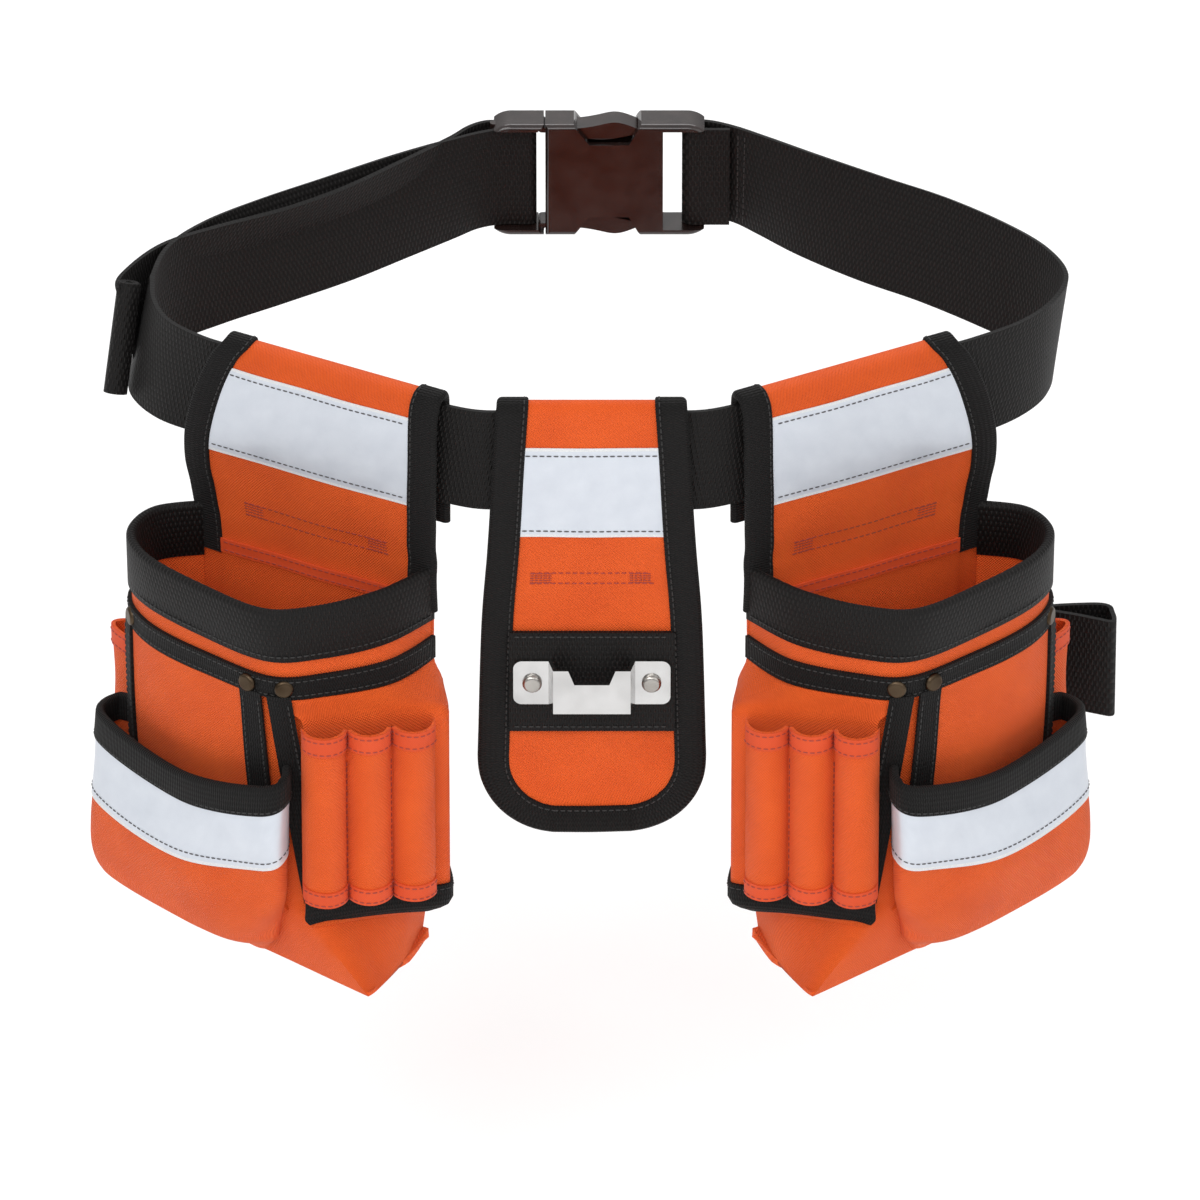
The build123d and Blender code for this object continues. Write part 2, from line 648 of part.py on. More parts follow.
def holder_pieces():
    face = HOLDER_FACE + GAP / 2
    half = HOLDER_TOP_WIDTH / 2
    return {
        "holder_sleeve": [sleeve(HOLDER_TOP_WIDTH, HOLDER_SLEEVE_GAP)],
        "holder_sleeve_binding": side_strips(
            HOLDER_TOP_WIDTH, BINDING_WIDTH, face, face + 1.2, SLEEVE_BOTTOM, 21),
        "holder_reflective_band": [
            local_block(BINDING_WIDTH - half, half - BINDING_WIDTH, face, face + 0.4, -28, 5)],
        "holder_panel": [holder_panel()],
        "holder_binding": [holder_binding()],
        "holder_patch": [local_block(
            -PATCH_WIDTH / 2, PATCH_WIDTH / 2, HOLDER_FACE + GAP, HOLDER_FACE + GAP + WEB_THICK,
            PATCH_TOP - PATCH_HEIGHT, PATCH_TOP)],
        "hammer_bracket": [hammer_bracket()],
        "bracket_rivets": bracket_rivets(),
        "bracket_washers": bracket_washers(),
    }


def write_all():
    write("belt_webbing", belt_webbing())
    write("adjuster_strap", adjuster_strap())
    write("buckle_female", buckle_female())
    write("buckle_male", buckle_male())
    write("release_tab_upper", release_tab(1))
    write("release_tab_lower", release_tab(-1))
    for name, solids in holder_pieces().items():
        write(name, Compound([holder_place(solid) for solid in solids]))
    for name, solids in pouch_pieces().items():
        for side, word in ((-1, "left"), (1, "right")):
            write(f"{word}_{name}", Compound([pouch_place(side, solid) for solid in solids]))
    write("right_side_loop", pouch_place(1, side_loop()))


write_all()
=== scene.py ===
from math import cos, pi, radians, sin

import bmesh
import bpy
import numpy as np
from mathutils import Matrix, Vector


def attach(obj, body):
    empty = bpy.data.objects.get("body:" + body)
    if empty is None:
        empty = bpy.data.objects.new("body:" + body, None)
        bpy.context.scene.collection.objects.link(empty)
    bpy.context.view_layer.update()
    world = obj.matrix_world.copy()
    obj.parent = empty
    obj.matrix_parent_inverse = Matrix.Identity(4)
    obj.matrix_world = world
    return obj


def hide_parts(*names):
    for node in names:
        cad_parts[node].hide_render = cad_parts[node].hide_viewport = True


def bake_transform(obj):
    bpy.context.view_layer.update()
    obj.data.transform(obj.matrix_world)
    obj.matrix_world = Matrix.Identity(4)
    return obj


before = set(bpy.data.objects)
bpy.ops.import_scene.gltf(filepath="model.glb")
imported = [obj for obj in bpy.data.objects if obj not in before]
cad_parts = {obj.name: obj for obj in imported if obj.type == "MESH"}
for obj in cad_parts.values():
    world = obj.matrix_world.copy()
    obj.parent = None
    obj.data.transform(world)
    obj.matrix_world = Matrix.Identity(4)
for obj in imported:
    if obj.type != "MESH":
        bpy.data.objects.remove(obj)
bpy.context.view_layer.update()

# Toy tool belt. Shapes are worked out in millimetres and placed in metres.
MM = 0.001
FRONT_X = -5.0
FRONT_Y = -106.0
WEB_HALF = 19.0
WEB_THICK = 1.6
TAPE = 1.0
BINDING = 9.0

# Pouch frame: u along the belt, "out" away from the wearer
YAW = radians(30)
POUCH_OFFSET = 90.25
POUCH_Y = -79.0
MOUTH_Z = -45.0
WAIST_Z = -162.0
BOTTOM_Z = -190.0
STRAP_END = -150.0         # the straps end behind the lower pocket

# Two places on the back strap, in metres, for its bend when the buckle is pulled; settle_across takes them
# but does not use them, so the strap does not bend
STRAP_FIXED = (-0.16, -0.030, 0)
STRAP_FREE = (-0.16, 0.050, 0)
MOUTH = [(-49, 3.7), (-61, 16), (-60, 33), (-46, 46), (-20, 54), (8, 58), (24, 47), (37, 27), (44, 3.7)]
WAIST = [(-46, 3.7), (-57, 14), (-60, 30), (-46, 38), (-18, 46), (15, 50), (30, 38), (45, 26), (43, 3.7)]
BOTTOM = [(-44, 3.7), (-53, 10), (-59, 24), (-40, 32), (-6, 42), (46, 52), (45, 38), (42, 20), (39, 3.7)]
POCKET_LEVELS = [-100.0, -132.0, -158.0, -180.0, -189.5]
POCKET = [
    [(-56, 30), (-69, 27), (-66, 42), (-24, 61), (12, 66), (19, 60), (10, 46)],
    [(-56, 29), (-71, 27), (-68, 43), (-24, 62), (10, 66), (18, 60), (10, 46)],
    [(-56, 28), (-73, 27), (-69, 44), (-24, 62), (8, 63), (16, 57), (9, 46)],
    [(-56, 26), (-72, 28), (-66, 40), (-29, 54), (-4, 57), (6, 52), (5, 43)],
    [(-54, 20), (-57, 24), (-55, 28), (-30, 36), (-8, 43), (-2, 44), (0, 41)],
]
POCKET_RIM = [-114.0, -116.0, -116.0, -116.5, -110.0, -106.0, -106.0]

# Folded cloth top of a pouch: out, z, left edge u, right edge u, from the rear hem over the fold
POUCH_TOP = [
    (-4.2, -28.5, -46, 45), (-4.4, -5, -44, 45), (-4.2, 16, -40, 45), (-2.7, 21.6, -38, 45.5),
    (0.3, 23.4, -37, 46), (3.3, 21.6, -38, 45.5), (5.0, 16, -42, 45), (5.8, 2, -48, 45),
    (5.6, -14, -52, 44.5), (4.8, -27, -53, 44), (4.3, -36, -51.5, 43.5), (4.1, -42, -50.5, 44),
    (4.4, -50, -49, 44), (4.4, -75, -48, 44), (4.3, -120, -47, 43.5), (4.1, -189, -42, 37),
]
HOLDER_TOP = [
    (-3.3, -28.5, -30.5, 30.5), (-3.5, -5, -30.5, 30.5), (-3.3, 16, -30.5, 30.5), (-2.2, 21.4, -30.5, 30.5),
    (0.2, 23.0, -30.5, 30.5), (2.6, 21.4, -30.6, 30.6), (3.8, 16, -31, 31), (4.2, 0, -32, 32),
    (3.6, -20, -33, 33), (2.9, -36, -34, 34), (2.3, -64, -36, 36), (2.2, -108, -37.3, 37.3),
    (2.3, -118, -37.5, 37.5),
]
HOLDER_LOW = -145.0
HOLDER_ROUND = 27.0


# ---- curves and surfaces ----
def smooth_through(points, place):
    """Smooth curve through points at places given as vertex number plus share; and the straight one."""
    pts = np.asarray(points, float)
    last = len(pts) - 1
    place = np.asarray(place, float)
    index = np.clip(np.floor(place).astype(int), 0, last - 1)
    t = (place - index)[..., None]
    a, b = pts[np.maximum(index - 1, 0)], pts[index]
    c, d = pts[index + 1], pts[np.minimum(index + 2, last)]
    curve = 0.5 * (2 * b + (c - a) * t + (2 * a - 5 * b + 4 * c - d) * t**2 + (3 * b - a - 3 * c + d) * t**3)
    return curve, b + (c - b) * t


def ripple(x, y, seed, size, height):
    """Soft seeded unevenness of cloth over two lengths in millimetres."""
    rng = np.random.default_rng(seed)
    total = np.zeros(np.broadcast(x, y).shape)
    for _ in range(9):
        angle = rng.uniform(0, pi)
        pitch = size * rng.uniform(0.7, 1.9)
        phase = rng.uniform(0, 2 * pi)
        total = total + np.sin((x * cos(angle) + y * sin(angle)) * 2 * pi / pitch + phase)
    return total * height / 3


class Surface:
    """A parametric sheet of cloth: shape(s, t) gives points, and side turns its outward normal."""

    def __init__(self, shape, side=1, fine=(0.01, 0.05)):
        self.shape = shape
        self.side = side
        self.fine = fine

    def normal(self, s, t):
        ds, dt = self.fine
        along = self.shape(s + ds, t) - self.shape(s - ds, t)
        down = self.shape(s, t + dt) - self.shape(s, t - dt)
        across = np.cross(along, down)
        return self.side * across / np.maximum(np.linalg.norm(across, axis=-1, keepdims=True), 1e-9)

    def at(self, s, t, lift=0.0):
        s, t = np.broadcast_arrays(np.asarray(s, float), np.asarray(t, float))
        return self.shape(s, t) + self.normal(s, t) * lift


def between(low, high, share, other):
    low = low(other) if callable(low) else low
    high = high(other) if callable(high) else high
    return low + (high - low) * share


def build(name, points, faces, uvs, material, place, caps=()):
    """Mesh object from points in a local frame, with a UV map in metres of cloth."""
    world = place(points.reshape(-1, 3))
    mesh = bpy.data.meshes.new(name)
    mesh.from_pydata((world * MM).tolist(), [], faces.tolist() + [list(cap) for cap in caps])
    form = bmesh.new()
    form.from_mesh(mesh)
    bmesh.ops.recalc_face_normals(form, faces=form.faces)
    form.to_mesh(mesh)
    form.free()
    layer = mesh.uv_layers.new(name="cloth")
    corner = np.empty(len(mesh.loops), np.int32)
    mesh.loops.foreach_get("vertex_index", corner)
    layer.data.foreach_set("uv", (uvs.reshape(-1, 2)[corner] * MM).ravel())
    mesh.polygons.foreach_set("use_smooth", [True] * len(mesh.polygons))
    mesh.validate()
    mesh.materials.append(material)
    piece = bpy.data.objects.new(name, mesh)
    bpy.context.scene.collection.objects.link(piece)
    mesh.set_sharp_from_angle(angle=radians(50))
    return piece


def lengths(grid, axis):
    step = np.linalg.norm(np.diff(grid, axis=axis), axis=-1)
    start = np.zeros_like(np.take(step, [0], axis=axis))
    return np.cumsum(np.concatenate([start, step], axis=axis), axis=axis)


def quads(rows, columns, closed=False):
    """Faces of a grid of points; closed joins its last column to its first."""
    r = np.arange(rows - 1)[:, None]
    c = np.arange(columns if closed else columns - 1)[None, :]
    d = (c + 1) % columns
    faces = np.stack([r * columns + c, r * columns + d, (r + 1) * columns + d, (r + 1) * columns + c], -1)
    return faces.reshape(-1, 4)


def sheet_mesh(name, face, back, material, place):
    """Cloth between two grids of the same size, closed all round."""
    rows, columns = face.shape[:2]
    front = quads(rows, columns)
    count = rows * columns
    index = np.arange(count).reshape(rows, columns)
    edge = np.concatenate([index[0], index[1:, -1], index[-1, -2::-1], index[-2:0:-1, 0]])
    following = np.roll(edge, -1)
    rim = np.stack([following, edge, edge + count, following + count], -1)
    faces = np.concatenate([front, front[:, ::-1] + count, rim])
    uv = np.stack([lengths(face, 1), lengths(face, 0)], -1)
    return build(name, np.stack([face, back]), faces, np.stack([uv, uv]), material, place)


def patch(name, surface, s, t, lift, material, place, step=2.2):
    """Cloth on part of a surface; lift is its inner and outer distance from the surface."""
    a = np.linspace(0, 1, 7)[None, :]
    b = np.linspace(0, 1, 7)[:, None]
    rough = surface.at(between(*s, a, b), between(*t, b, a))
    columns = int(lengths(rough, 1)[:, -1].max() / step) + 2
    rows = int(lengths(rough, 0)[-1].max() / step) + 2
    a = np.linspace(0, 1, columns)[None, :]
    b = np.linspace(0, 1, rows)[:, None]
    s_grid = between(*s, a, b)
    t_grid = between(*t, b, a)
    face = surface.at(s_grid, t_grid, lift[1])
    back = surface.at(s_grid, t_grid, lift[0])
    return sheet_mesh(name, face, back, material, place)


def tape(name, edge, inward, normal, widths, core, material, place, thick=TAPE):
    """Tape folded over a cloth edge: widths in front and behind, round a core of cloth."""
    front, back = widths
    loose = 0.06
    turn = [(-sin(k) * (core / 2 + thick), -core / 2 + cos(k) * (core / 2 + thick)) for k in
            np.linspace(0, pi, 9)]
    section = [(front, thick * 0.5), (front - 0.5, thick)] + turn
    section += [(back - 0.5, -core - thick), (back, -core - thick * 0.5), (back, -core - loose)]
    section += [(0.3, -core - loose), (0.3, loose), (front, loose)]
    section = np.array(section)
    grid = edge[:, None] + inward[:, None] * section[None, :, :1] + normal[:, None] * section[None, :, 1:]
    rows, columns = grid.shape[:2]
    faces = quads(rows, columns, closed=True)[:, ::-1]
    along = np.repeat(lengths(grid[:, :1], 0), columns, 1)
    round_ = np.repeat(lengths(section[None, :, :], 1), rows, 0)
    piece_uv = np.stack([along, round_], -1)
    ends = (range(columns), range((rows - 1) * columns, rows * columns))
    return build(name, grid, faces, piece_uv, material, place, ends)


def unit(v):
    return v / np.maximum(np.linalg.norm(v, axis=-1, keepdims=True), 1e-9)


def edge_tape(name, surface, s_edge, t_range, towards, widths, core, material, place, lift=0.0, step=2.0):
    """Tape over a surface's side edge: s_edge(t) is the edge, towards is +1 or -1 along s."""
    t = np.linspace(*t_range, int(abs(t_range[1] - t_range[0]) * step) + 12)
    s = s_edge(t) if callable(s_edge) else np.full_like(t, s_edge)
    edge = surface.at(s, t, lift)
    inward = unit(surface.shape(s + towards * 0.02, t) - surface.shape(s, t))
    return tape(name, edge, inward, surface.normal(s, t), widths, core, material, place)


def rim_tape(name, surface, s_range, top, widths, core, material, place, lift=0.0):
    """Tape over a surface's top edge, whose height is top(s)."""
    s = np.linspace(*s_range, 110)
    z = top(s) if callable(top) else np.full_like(s, top)
    edge = surface.at(s, z, lift)
    inward = unit(surface.shape(s, z - 2.0) - surface.shape(s, z))
    return tape(name, edge, inward, surface.normal(s, z), widths, core, material, place)


STITCH_RINGS = [(0.0, 0.3), (0.12, 0.85), (0.5, 1.0), (0.88, 0.85), (1.0, 0.3)]


class Seams:
    """Collects stitches of one thread that move together, and makes them one mesh."""

    def __init__(self, name, material, place):
        self.name, self.material, self.place = name, material, place
        self.points, self.faces, self.count = [], [], 0

    def line(self, path, normal, pitch=2.4, share=0.72, radius=0.27):
        """Stitches along a path of points, each a small rounded thread half sunk in the cloth."""
        run = lengths(path[:, None], 0)[:, 0]
        starts = np.arange(0.4, run[-1] - pitch * share, pitch)
        for start in starts:
            ends = [np.array([np.interp(x, run, path[:, k]) for k in range(3)])
                    for x in (start, start + pitch * share)]
            up = np.array([np.interp(start, run, normal[:, k]) for k in range(3)])
            way = ends[1] - ends[0]
            side = unit(np.cross(way, up))
            for share_along, wide in STITCH_RINGS:
                centre = ends[0] + way * share_along + up * radius * 0.45 * wide
                for k in range(6):
                    turn = k * pi / 3
                    self.points.append(centre + (side * cos(turn) + up * sin(turn) * 0.8) * radius * wide)
            rings = len(STITCH_RINGS)
            half = np.array([[0, 1, 2, 3], [0, 3, 4, 5]])
            stitch = [quads(rings, 6, closed=True), half, half + (rings - 1) * 6]
            self.faces.append(np.concatenate(stitch) + self.count)
            self.count += rings * 6

    def on(self, surface, s, t, lift, **options):
        """A line of stitches on a surface, between two places in s and t."""
        share = np.linspace(0, 1, 90)
        s_line = s[0] + (s[1] - s[0]) * share
        t_line = np.interp(share, np.linspace(0, 1, len(t)), t) if not callable(t) else t(s_line)
        self.line(surface.at(s_line, t_line, lift), surface.normal(s_line, t_line), **options)

    def bartack(self, surface, s, t, lift, rows=5):
        """A dense block of short stitches."""
        for k in range(rows):
            height = t[0] + (t[1] - t[0]) * k / (rows - 1)
            self.on(surface, s, (height, height), lift, pitch=1.5, share=0.9, radius=0.22)

    def make(self):
        points = np.array(self.points)
        return build(self.name, points, np.concatenate(self.faces), points[:, :2], self.material, self.place)


# ---- materials ----
class Graph:
    """Short calls for a material's nodes."""

    def __init__(self, name):
        self.material = bpy.data.materials.new(name)
        self.material.use_nodes = True
        self.tree = self.material.node_tree
        self.shader = self.tree.nodes["Principled BSDF"]

    def node(self, kind, **inputs):
        made = self.tree.nodes.new(kind)
        for key, value in inputs.items():
            self.feed(made.inputs[key.replace("_", " ")], value)
        return made

    def feed(self, socket, value):
        if isinstance(value, bpy.types.NodeSocket):
            self.tree.links.new(value, socket)
        else:
            socket.default_value = value

    def math(self, operation, a, b=0.0):
        made = self.tree.nodes.new("ShaderNodeMath")
        made.operation = operation
        self.feed(made.inputs[0], a)
        self.feed(made.inputs[1], b)
        return made.outputs[0]

    def cloth_uv(self):
        """Position on the cloth in metres, across and along."""
        uv = self.tree.nodes.new("ShaderNodeUVMap")
        uv.uv_map = "cloth"
        split = self.node("ShaderNodeSeparateXYZ", Vector=uv.outputs[0])
        return uv.outputs[0], split.outputs[0], split.outputs[1]

    def wave(self, length, pitch):
        return self.math("SINE", self.math("MULTIPLY", length, 2 * pi / (pitch * MM)))

    def noise(self, vector, size, detail=3.0):
        made = self.node("ShaderNodeTexNoise", Scale=1 / (size * MM), Detail=detail)
        if vector is not None:
            self.feed(made.inputs["Vector"], vector)
        return made.outputs["Fac"]

    def place(self):
        return self.tree.nodes.new("ShaderNodeTexCoord").outputs["Object"]

    def ramp(self, value, low, high, start=0.0, end=1.0):
        made = self.node("ShaderNodeValToRGB", Fac=value)
        made.color_ramp.elements[0].position = start
        made.color_ramp.elements[1].position = end
        made.color_ramp.elements[0].color = (*low, 1)
        made.color_ramp.elements[1].color = (*high, 1)
        return made.outputs[0]

    def range(self, value, low, high):
        made = self.node("ShaderNodeMapRange", Value=value)
        made.inputs["To Min"].default_value = low
        made.inputs["To Max"].default_value = high
        return made.outputs[0]

    def bump(self, height, depth, strength=1.0, below=None):
        made = self.node("ShaderNodeBump", Height=height, Distance=depth * MM, Strength=strength)
        if below is not None:
            self.feed(made.inputs["Normal"], below)
        return made.outputs[0]

    def finish(self, color, roughness, normal, **sockets):
        self.feed(self.shader.inputs["Base Color"], color)
        self.feed(self.shader.inputs["Roughness"], roughness)
        if normal is not None:
            self.feed(self.shader.inputs["Normal"], normal)
        for key, value in sockets.items():
            self.shader.inputs[key.replace("_", " ")].default_value = value
        return self.material


def woven(name, dark, light, pitch, depth, sheen, rough):
    """Oxford cloth: a fine diagonal weave over slow changes of colour and small creases."""
    g = Graph(name)
    uv, u, v = g.cloth_uv()
    rising = g.wave(g.math("ADD", u, v), pitch)
    falling = g.wave(g.math("SUBTRACT", u, v), pitch * 1.35)
    weave = g.math("MULTIPLY", g.math("ADD", rising, g.math("MULTIPLY", falling, 0.6)), 0.6)
    blotch = g.noise(uv, 22)
    fibre = g.noise(uv, 0.9, 2.0)
    fine = g.math("ADD", blotch, g.math("MULTIPLY", fibre, 0.3))
    mixed = g.math("ADD", g.math("MULTIPLY", weave, 0.24), fine)
    color = g.ramp(mixed, dark, light, 0.25, 1.05)
    creases = g.bump(g.noise(uv, 14, 5.0), 0.9, 0.35)
    normal = g.bump(weave, depth, 0.8, creases)
    return g.finish(color, g.range(fibre, rough - 0.08, rough + 0.1), normal, Sheen_Weight=sheen,
                    Sheen_Roughness=0.45, Specular_IOR_Level=0.3)


def webbing_material():
    """Black polypropylene webbing: raised dots in alternate rows, with painted highlights on their tops."""
    g = Graph("webbing")
    uv, u, v = g.cloth_uv()
    along = g.math("COSINE", g.math("MULTIPLY", u, pi / (0.85 * MM)))
    across = g.math("COSINE", g.math("MULTIPLY", v, pi / (2.05 * MM)))
    dots = g.math("MAXIMUM", g.math("MULTIPLY", along, across), 0.0)
    fibre = g.noise(uv, 1.1, 4.0)
    # The raised dots are painted lighter, a painted highlight on their tops, over the fibre's random tone.
    tone = g.math("ADD", g.math("MULTIPLY", dots, 0.55), g.math("MULTIPLY", fibre, 0.45))
    color = g.ramp(tone, (0.0012, 0.001, 0.001), (0.017, 0.0142, 0.013), 0.1, 0.95)
    normal = g.bump(dots, 0.45, 0.9, g.bump(fibre, 0.12, 0.5))
    return g.finish(color, g.range(fibre, 0.5, 0.72), normal, Sheen_Weight=0.02, Sheen_Roughness=0.4,
                    Specular_IOR_Level=0.22)


def binding_material():
    """Grosgrain tape: fine ribs across its length."""
    g = Graph("black_binding")
    uv, u, v = g.cloth_uv()
    ribs = g.wave(u, 0.95)
    chain = g.wave(v, 1.9)
    fibre = g.noise(uv, 0.8, 3.0)
    tone = g.math("ADD", g.math("MULTIPLY", g.math("MULTIPLY", ribs, chain), 0.25), fibre)
    color = g.ramp(tone, (0.0012, 0.0011, 0.0011), (0.0125, 0.011, 0.0105), 0.3, 0.9)
    normal = g.bump(g.math("ADD", ribs, g.math("MULTIPLY", chain, 0.5)), 0.16, 0.85)
    return g.finish(color, g.range(fibre, 0.62, 0.82), normal, Sheen_Weight=0.02, Specular_IOR_Level=0.2)


def reflective_material():
    """Glass bead tape: cool silver with a faint bead grain and creases, its colour darker in the crease
    hollows and lighter on their ridges.
    """
    g = Graph("reflective_tape")
    uv, u, v = g.cloth_uv()
    beads = g.noise(uv, 0.35, 1.0)
    creases = g.noise(uv, 9, 6.0)
    # Colour follows the crease height: darker in the crease hollows, lighter on the ridges.
    color = g.ramp(g.math("ADD", creases, g.math("MULTIPLY", beads, 0.2)), (0.55, 0.585, 0.645),
                   (0.64, 0.675, 0.73), 0.3, 0.9)
    normal = g.bump(beads, 0.03, 0.5, g.bump(creases, 0.4, 0.35))
    return g.finish(color, g.range(creases, 0.32, 0.52), normal, Metallic=0.25, Coat_Weight=0.12)


def thread_material(name, color, rough=0.6):
    g = Graph(name)
    twist = g.noise(g.place(), 0.4, 2.0)
    low = tuple(c * 0.6 for c in color)
    return g.finish(g.ramp(twist, low, color), rough, g.bump(twist, 0.05, 0.6), Sheen_Weight=0.1)


def plastic_material():
    """Dark moulded acetal: gloss, with a fine moulding grain and faint scuffs."""
    g = Graph("buckle_plastic")
    grain = g.noise(g.place(), 0.5, 3.0)
    scuffs = g.noise(g.place(), 7, 6.0)
    color = g.ramp(scuffs, (0.010, 0.0055, 0.005), (0.024, 0.012, 0.010), 0.3, 0.75)
    return g.finish(color, g.range(scuffs, 0.13, 0.3), g.bump(grain, 0.02, 0.4), Coat_Weight=0.3,
                    Coat_Roughness=0.12)


def metal_material(name, low, high, rough, grain):
    """Metal with fine scratches and a tarnish that changes slowly."""
    g = Graph(name)
    tarnish = g.noise(g.place(), 12, 2.0)
    scratches = g.noise(g.place(), 0.4, 4.0)
    return g.finish(g.ramp(tarnish, low, high, 0.3, 0.7), g.range(tarnish, *rough),
                    g.bump(scratches, grain, 0.4), Metallic=1.0)


ORANGE = woven("orange_oxford", (0.72, 0.082, 0.007), (0.88, 0.122, 0.012), 0.95, 0.3, 0.05, 0.68)
HEM = woven("orange_hem", (0.62, 0.062, 0.012), (0.76, 0.092, 0.022), 0.6, 0.08, 0.04, 0.62)
WEBBING = webbing_material()
BLACK = binding_material()
SILVER = reflective_material()
WHITE_EDGE = thread_material("tape_edge", (0.82, 0.83, 0.84), 0.5)
RED_THREAD = thread_material("red_thread", (0.42, 0.04, 0.02))
GREY_THREAD = thread_material("grey_thread", (0.085, 0.08, 0.085))
BLACK_THREAD = thread_material("black_thread", (0.016, 0.015, 0.0145), 0.55)
PLASTIC = plastic_material()
CHROME = metal_material("chrome_steel", (0.50, 0.495, 0.49), (0.62, 0.615, 0.61), (0.14, 0.22), 0.01)
NICKEL = metal_material("nickel_rivet", (0.28, 0.26, 0.24), (0.50, 0.48, 0.45), (0.2, 0.36), 0.02)
BRONZE = metal_material("dark_rivet", (0.045, 0.03, 0.018), (0.11, 0.078, 0.05), (0.3, 0.48), 0.02)


def settle(piece, body, *nodes):
    """Fixes a finished piece to a body, and hides the CAD nodes that it stands for."""
    if nodes:
        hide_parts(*nodes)
    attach(piece, body)


def settle_across(piece, bodies, start, end, *nodes):
    """Hides the CAD nodes that a piece stands for, and bakes its placing into its mesh."""
    if nodes:
        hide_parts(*nodes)
    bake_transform(piece)


def paint(node, material):
    """Gives a carried-over CAD node a material."""
    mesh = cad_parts[node].data
    mesh.materials.clear()
    mesh.materials.append(material)


# ---- places ----
def as_is(points):
    return points


def holder_place(points):
    u, out, z = points.T
    return np.stack([FRONT_X + 0.5 + u, FRONT_Y - out, z], -1)


def pouch_place(side):
    def place(points):
        u, out, z = points.T
        x = POUCH_OFFSET - u * cos(YAW) + out * sin(YAW)
        y = POUCH_Y - u * sin(YAW) - out * cos(YAW)
        return np.stack([FRONT_X + side * x, y, z], -1)
    return place


# ---- belt webbing ----
def belt_at(side, u):
    point = pouch_place(side)(np.array([[u, 0.0, 0.0]]))[0]
    return (point[0], point[1], 0)


RIGHT_SIDE = [
    (44, 97, 0), (36, 97, 0), (31, 97, 0), (28.5, 98.3, 0), (28.0, 100, 0), (28.5, 101.7, 0), (31, 103, 0),
    (37, 103, 0), (46, 98.6, 0), (56, 90, 4), (72, 75.5, 12), (94, 58, 20), (115, 43, 22), (135, 25, 19),
    (150, 8, 12), (157, -10, 8), (153, -28, 4), (143, -42.5, 2),
]
LEFT_SIDE = [(-152, -42.5, -6), (-159.5, -27, -12), (-160.5, -10, -12)]
LEFT_BACK = [
    (-160.5, -9.9, -12), (-152, 10, 0), (-136, 27, 13), (-115, 43, 21), (-94, 58, 20), (-72, 75, 12),
    (-54, 88, 4), (-45, 94.2, 0), (-36, 97.4, 0), (-27.5, 97.4, 0), (-25.3, 98.4, 0), (-24.9, 100, 0),
    (-25.3, 101.6, 0), (-27.5, 102.6, 0), (-36, 102.8, 0), (-42, 102.8, 0), (-48, 98.8, 0), (-56, 91, 4),
    (-73.4, 77.4, 12), (-95.5, 60.4, 20), (-116.5, 45.4, 21), (-137.8, 29.3, 13), (-154.2, 11.8, 0),
    (-163.3, -9.6, -12), (-164.4, -19.0, -12),
]


def webbing_surface(points):
    """Webbing on edge along points x, y and lean; s is the place on them and t the height."""
    def shape(s, t):
        here, _ = smooth_through(points, s)
        ahead, _ = smooth_through(points, s + 0.02)
        heading = unit((ahead - here)[..., :2])
        outward = np.stack([-heading[..., 1], heading[..., 0]], -1)
        lean = np.radians(here[..., 2])
        plan = here[..., :2] + outward * (np.sin(lean) * t)[..., None]
        return np.concatenate([plan, (np.cos(lean) * t)[..., None]], -1)
    return Surface(shape, 1)


def make_belt():
    straight = [-49, -30, -10, 10, 30, 38]
    right = [belt_at(1, u) for u in straight]
    front = [(x, FRONT_Y, 0) for x in (34, 14, -6, -26, -44)]
    left = [belt_at(-1, u) for u in reversed(straight)]
    points = RIGHT_SIDE + right + front + left + LEFT_SIDE
    surface = webbing_surface(points)
    half = WEB_THICK / 2
    belt = patch("belt_strap", surface, (0, len(points) - 1), (-WEB_HALF, WEB_HALF), (-half, half),
                 WEBBING, as_is, 1.6)
    settle(belt, "belt", "belt_webbing")
    back = webbing_surface(LEFT_BACK)
    strap = patch("adjuster_strap_webbing", back, (0, len(LEFT_BACK) - 1), (-WEB_HALF, WEB_HALF),
                  (-half, half), WEBBING, as_is, 1.6)
    settle_across(strap, ("belt", "buckle_plug"), STRAP_FIXED, STRAP_FREE, "adjuster_strap")
    roll = make_rolled_end()
    settle_across(roll, ("belt", "buckle_plug"), STRAP_FIXED, STRAP_FREE)
    threads = Seams("belt_stitches", BLACK_THREAD, as_is)
    for place in (8.15, 8.4):
        threads.line(surface.at(np.full(40, place), np.linspace(-17, 17, 40), half),
                     surface.normal(np.full(40, place), np.linspace(-17, 17, 40)))
    settle(threads.make(), "belt")


def make_rolled_end():
    """The strap's free end, rolled up twice and sewn: a leaning spiral of webbing."""
    foot = np.array([-169.6, -27.0, -18.0])
    head = np.array([-164.4, -14.0, 18.5])
    axis = unit(head - foot)
    side = unit(np.cross(axis, np.array([0.0, 0.0, 1.0])))
    other = np.cross(axis, side)

    def shape(s, t):
        reach = 1.3 + 3.3 * s / (4 * pi)
        turn = np.cos(s)[..., None] * side * 0.85 + np.sin(s)[..., None] * other
        return foot + (head - foot) * t[..., None] + turn * reach[..., None]
    surface = Surface(shape, 1, (0.01, 0.005))
    return patch("strap_rolled_end", surface, (0, 4 * pi), (0, 1), (-0.65, 0.65), WEBBING, as_is, 1.0)


# ---- folded tops, shared by the pouches and the holder ----
def folded_top(profile, crown, seed):
    """Cloth folded over the belt: s runs across from 0 to 1 and t is the place on the profile."""
    def shape(s, t):
        at, _ = smooth_through(profile, t)
        out, z, left, right = np.moveaxis(at, -1, 0)
        u = left + (right - left) * s
        face = np.clip((t - 4.5) / 2, 0, 1)
        uneven = ripple(u, z, seed, 34, 0.3) * face
        return np.stack([u, out + face * crown * np.sin(pi * np.clip(s, 0, 1)) + uneven, z], -1)
    return Surface(shape, 1, (0.004, 0.02))


